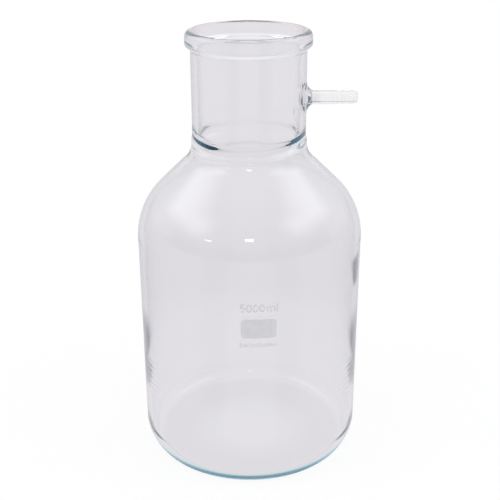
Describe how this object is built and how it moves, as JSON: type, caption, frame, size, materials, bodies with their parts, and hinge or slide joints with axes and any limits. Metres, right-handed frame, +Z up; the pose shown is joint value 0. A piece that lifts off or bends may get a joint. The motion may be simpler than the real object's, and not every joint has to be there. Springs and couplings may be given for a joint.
{
  "type": "filtering flask",
  "caption": "Bottle-shaped glass suction flask, 5000 ml, with rounded shoulder, wide neck, beaded rim, hose side arm on the neck and printed writing field.",
  "frame": {"origin": "centre of the standing plane, on the flask's axis", "axes": "+Z up along the flask's axis to the mouth, +X along the hose side arm, -Y the printed front"},
  "size_m": [0.182, 0.1823, 0.3518],
  "materials": {
    "glass": "clear polished borosilicate glass",
    "enamel": "satin fired enamel, stands in for ceramic print"
  },
  "bodies": {
    "root": {"body": "glass", "neck_seal": "glass", "neck": "glass", "rim_bead": "glass", "arm_seal": "glass", "side_arm": "glass", "writing_field": "enamel"}
  },
  "joints": []
}
